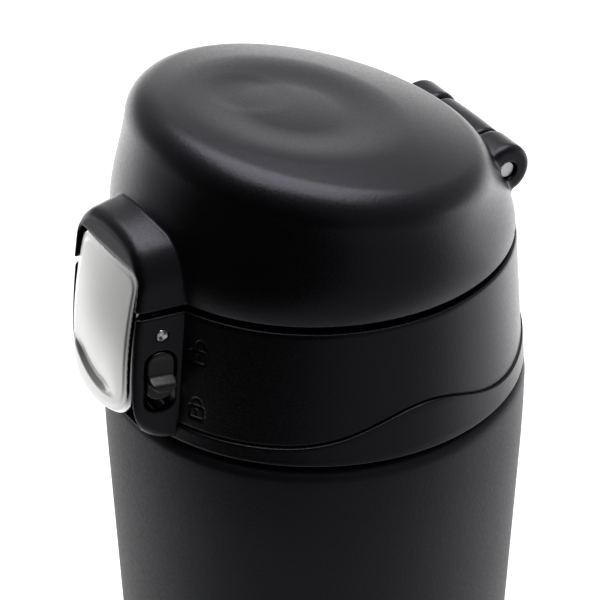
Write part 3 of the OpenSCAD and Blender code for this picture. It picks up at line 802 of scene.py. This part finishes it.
# from where to where along a direction the light changes, and between which strengths
WORLD_BESIDE = ((0.5, -0.4), (0.22, 0.52))
WORLD_BEHIND = ((-0.87, -1.0), (0.0, 1.2))
WORLD_LEFT = ((0.1, 0.6), (0.0, -0.24))
FLOOR_BESIDE = ((0.17, -0.03), (0.3, 1.2))
FLOOR_BEHIND = ((0.12, 0.3), (0.0, 1.3))
FLOOR_LEFT = ((0.12, 0.4), (0.0, -0.8))
FLOOR_HALF = 3

SOFTBOX_PLACE = (-0.09, 0.055, 0.735)
SOFTBOX_AIM = (0, 0, 0.19)
SOFTBOX_SIZE = (0.58, 0.58)
SOFTBOX_POWER = 5.0

camera_data = bpy.data.cameras.new("camera")
camera_data.sensor_width = 36
camera_data.lens = LENS
camera_data.shift_x = SHIFT
camera_data.clip_start = 0.02
camera_data.clip_end = 20
camera = bpy.data.objects.new("camera", camera_data)
camera.location = AIM + BACK * DISTANCE
camera.rotation_mode = "QUATERNION"
camera.rotation_quaternion = BACK.to_track_quat("Z", "Y")
bpy.context.scene.collection.objects.link(camera)
bpy.context.scene.camera = camera


def softbox(name, place, aim, size, power):
    """A rectangular softbox that faces its aim."""
    data = bpy.data.lights.new(name, "AREA")
    data.shape = "RECTANGLE"
    data.size, data.size_y = size
    data.energy = power
    light = bpy.data.objects.new(name, data)
    light.location = place
    light.rotation_mode = "QUATERNION"
    light.rotation_quaternion = (Vector(place) - Vector(aim)).to_track_quat("Z", "Y")
    bpy.context.scene.collection.objects.link(light)


def fade(tree, value, place, strength):
    """A value that passes smoothly from one strength to another as value goes from place to place."""
    node = tree.nodes.new("ShaderNodeMapRange")
    node.interpolation_type = "SMOOTHSTEP"
    node.inputs["From Min"].default_value, node.inputs["From Max"].default_value = place
    node.inputs["To Min"].default_value, node.inputs["To Max"].default_value = strength
    tree.links.new(value, node.inputs["Value"])
    return node.outputs["Result"]


def level_reach(tree, coords, direction):
    """How far coords lie along a level direction."""
    node = tree.nodes.new("ShaderNodeVectorMath")
    node.operation = "DOT_PRODUCT"
    node.inputs[1].default_value = Vector((direction[0], direction[1], 0)).normalized()
    tree.links.new(coords, node.inputs[0])
    return node.outputs["Value"]


def total(tree, *values):
    """The sum of values, never below zero."""
    out = values[0]
    for value in values[1:]:
        node = tree.nodes.new("ShaderNodeMath")
        tree.links.new(out, node.inputs[0])
        tree.links.new(value, node.inputs[1])
        out = node.outputs[0]
    top = tree.nodes.new("ShaderNodeMath")
    top.operation = "MAXIMUM"
    top.inputs[1].default_value = 0
    tree.links.new(out, top.inputs[0])
    return top.outputs[0]


def seen_or_light(tree, seen, light, out):
    """Shows one shader to the eye and lights the flask with the other."""
    path = tree.nodes.new("ShaderNodeLightPath")
    mix = tree.nodes.new("ShaderNodeMixShader")
    tree.links.new(path.outputs["Is Camera Ray"], mix.inputs["Fac"])
    tree.links.new(light.outputs[0], mix.inputs[1])
    tree.links.new(seen.outputs[0], mix.inputs[2])
    tree.links.new(mix.outputs[0], out.inputs[0])


def make_world():
    """White all round to the eye. As light, it is dim in front of the flask and bright behind it."""
    world = bpy.data.worlds.new("studio")
    bpy.context.scene.world = world
    world.use_nodes = True
    tree = world.node_tree
    tree.nodes.clear()
    out = tree.nodes.new("ShaderNodeOutputWorld")
    light = tree.nodes.new("ShaderNodeBackground")
    backdrop = tree.nodes.new("ShaderNodeBackground")
    backdrop.inputs["Color"].default_value = (1, 1, 1, 1)
    coords = tree.nodes.new("ShaderNodeTexCoord")
    facing = level_reach(tree, coords.outputs["Generated"], BACK)
    beside = fade(tree, facing, *WORLD_BESIDE)
    behind = fade(tree, facing, *WORLD_BEHIND)
    left = fade(tree, level_reach(tree, coords.outputs["Generated"], LEFT), *WORLD_LEFT)
    tree.links.new(total(tree, beside, behind, left), light.inputs["Strength"])
    seen_or_light(tree, backdrop, light, out)


def make_floor():
    """A pale floor. As light, it is dim in front of the flask and bright behind it."""
    mesh = bpy.data.meshes.new("floor")
    sides = ((-1, -1), (1, -1), (1, 1), (-1, 1))
    mesh.from_pydata([(FLOOR_HALF * x, FLOOR_HALF * y, 0) for x, y in sides], [], [(0, 1, 2, 3)])
    floor = bpy.data.objects.new("floor", mesh)
    bpy.context.scene.collection.objects.link(floor)
    material = bpy.data.materials.new("pale_floor")
    mesh.materials.append(material)
    material.use_nodes = True
    tree = material.node_tree
    tree.nodes.clear()
    out = tree.nodes.new("ShaderNodeOutputMaterial")
    paint = tree.nodes.new("ShaderNodeBsdfDiffuse")
    paint.inputs["Color"].default_value = (0.85, 0.85, 0.85, 1)
    glow = tree.nodes.new("ShaderNodeEmission")
    glow.inputs["Strength"].default_value = 0.6
    seen = tree.nodes.new("ShaderNodeAddShader")
    tree.links.new(paint.outputs[0], seen.inputs[0])
    tree.links.new(glow.outputs[0], seen.inputs[1])
    coords = tree.nodes.new("ShaderNodeTexCoord")
    light = tree.nodes.new("ShaderNodeEmission")
    facing = level_reach(tree, coords.outputs["Object"], BACK)
    beside = fade(tree, facing, *FLOOR_BESIDE)
    behind = fade(tree, level_reach(tree, coords.outputs["Object"], FAR_LEFT), *FLOOR_BEHIND)
    left = fade(tree, level_reach(tree, coords.outputs["Object"], LEFT), *FLOOR_LEFT)
    tree.links.new(total(tree, beside, behind, left), light.inputs["Strength"])
    seen_or_light(tree, seen, light, out)


make_world()
make_floor()
softbox("overhead", SOFTBOX_PLACE, SOFTBOX_AIM, SOFTBOX_SIZE, SOFTBOX_POWER)

bpy.context.scene.view_settings.view_transform = "Standard"
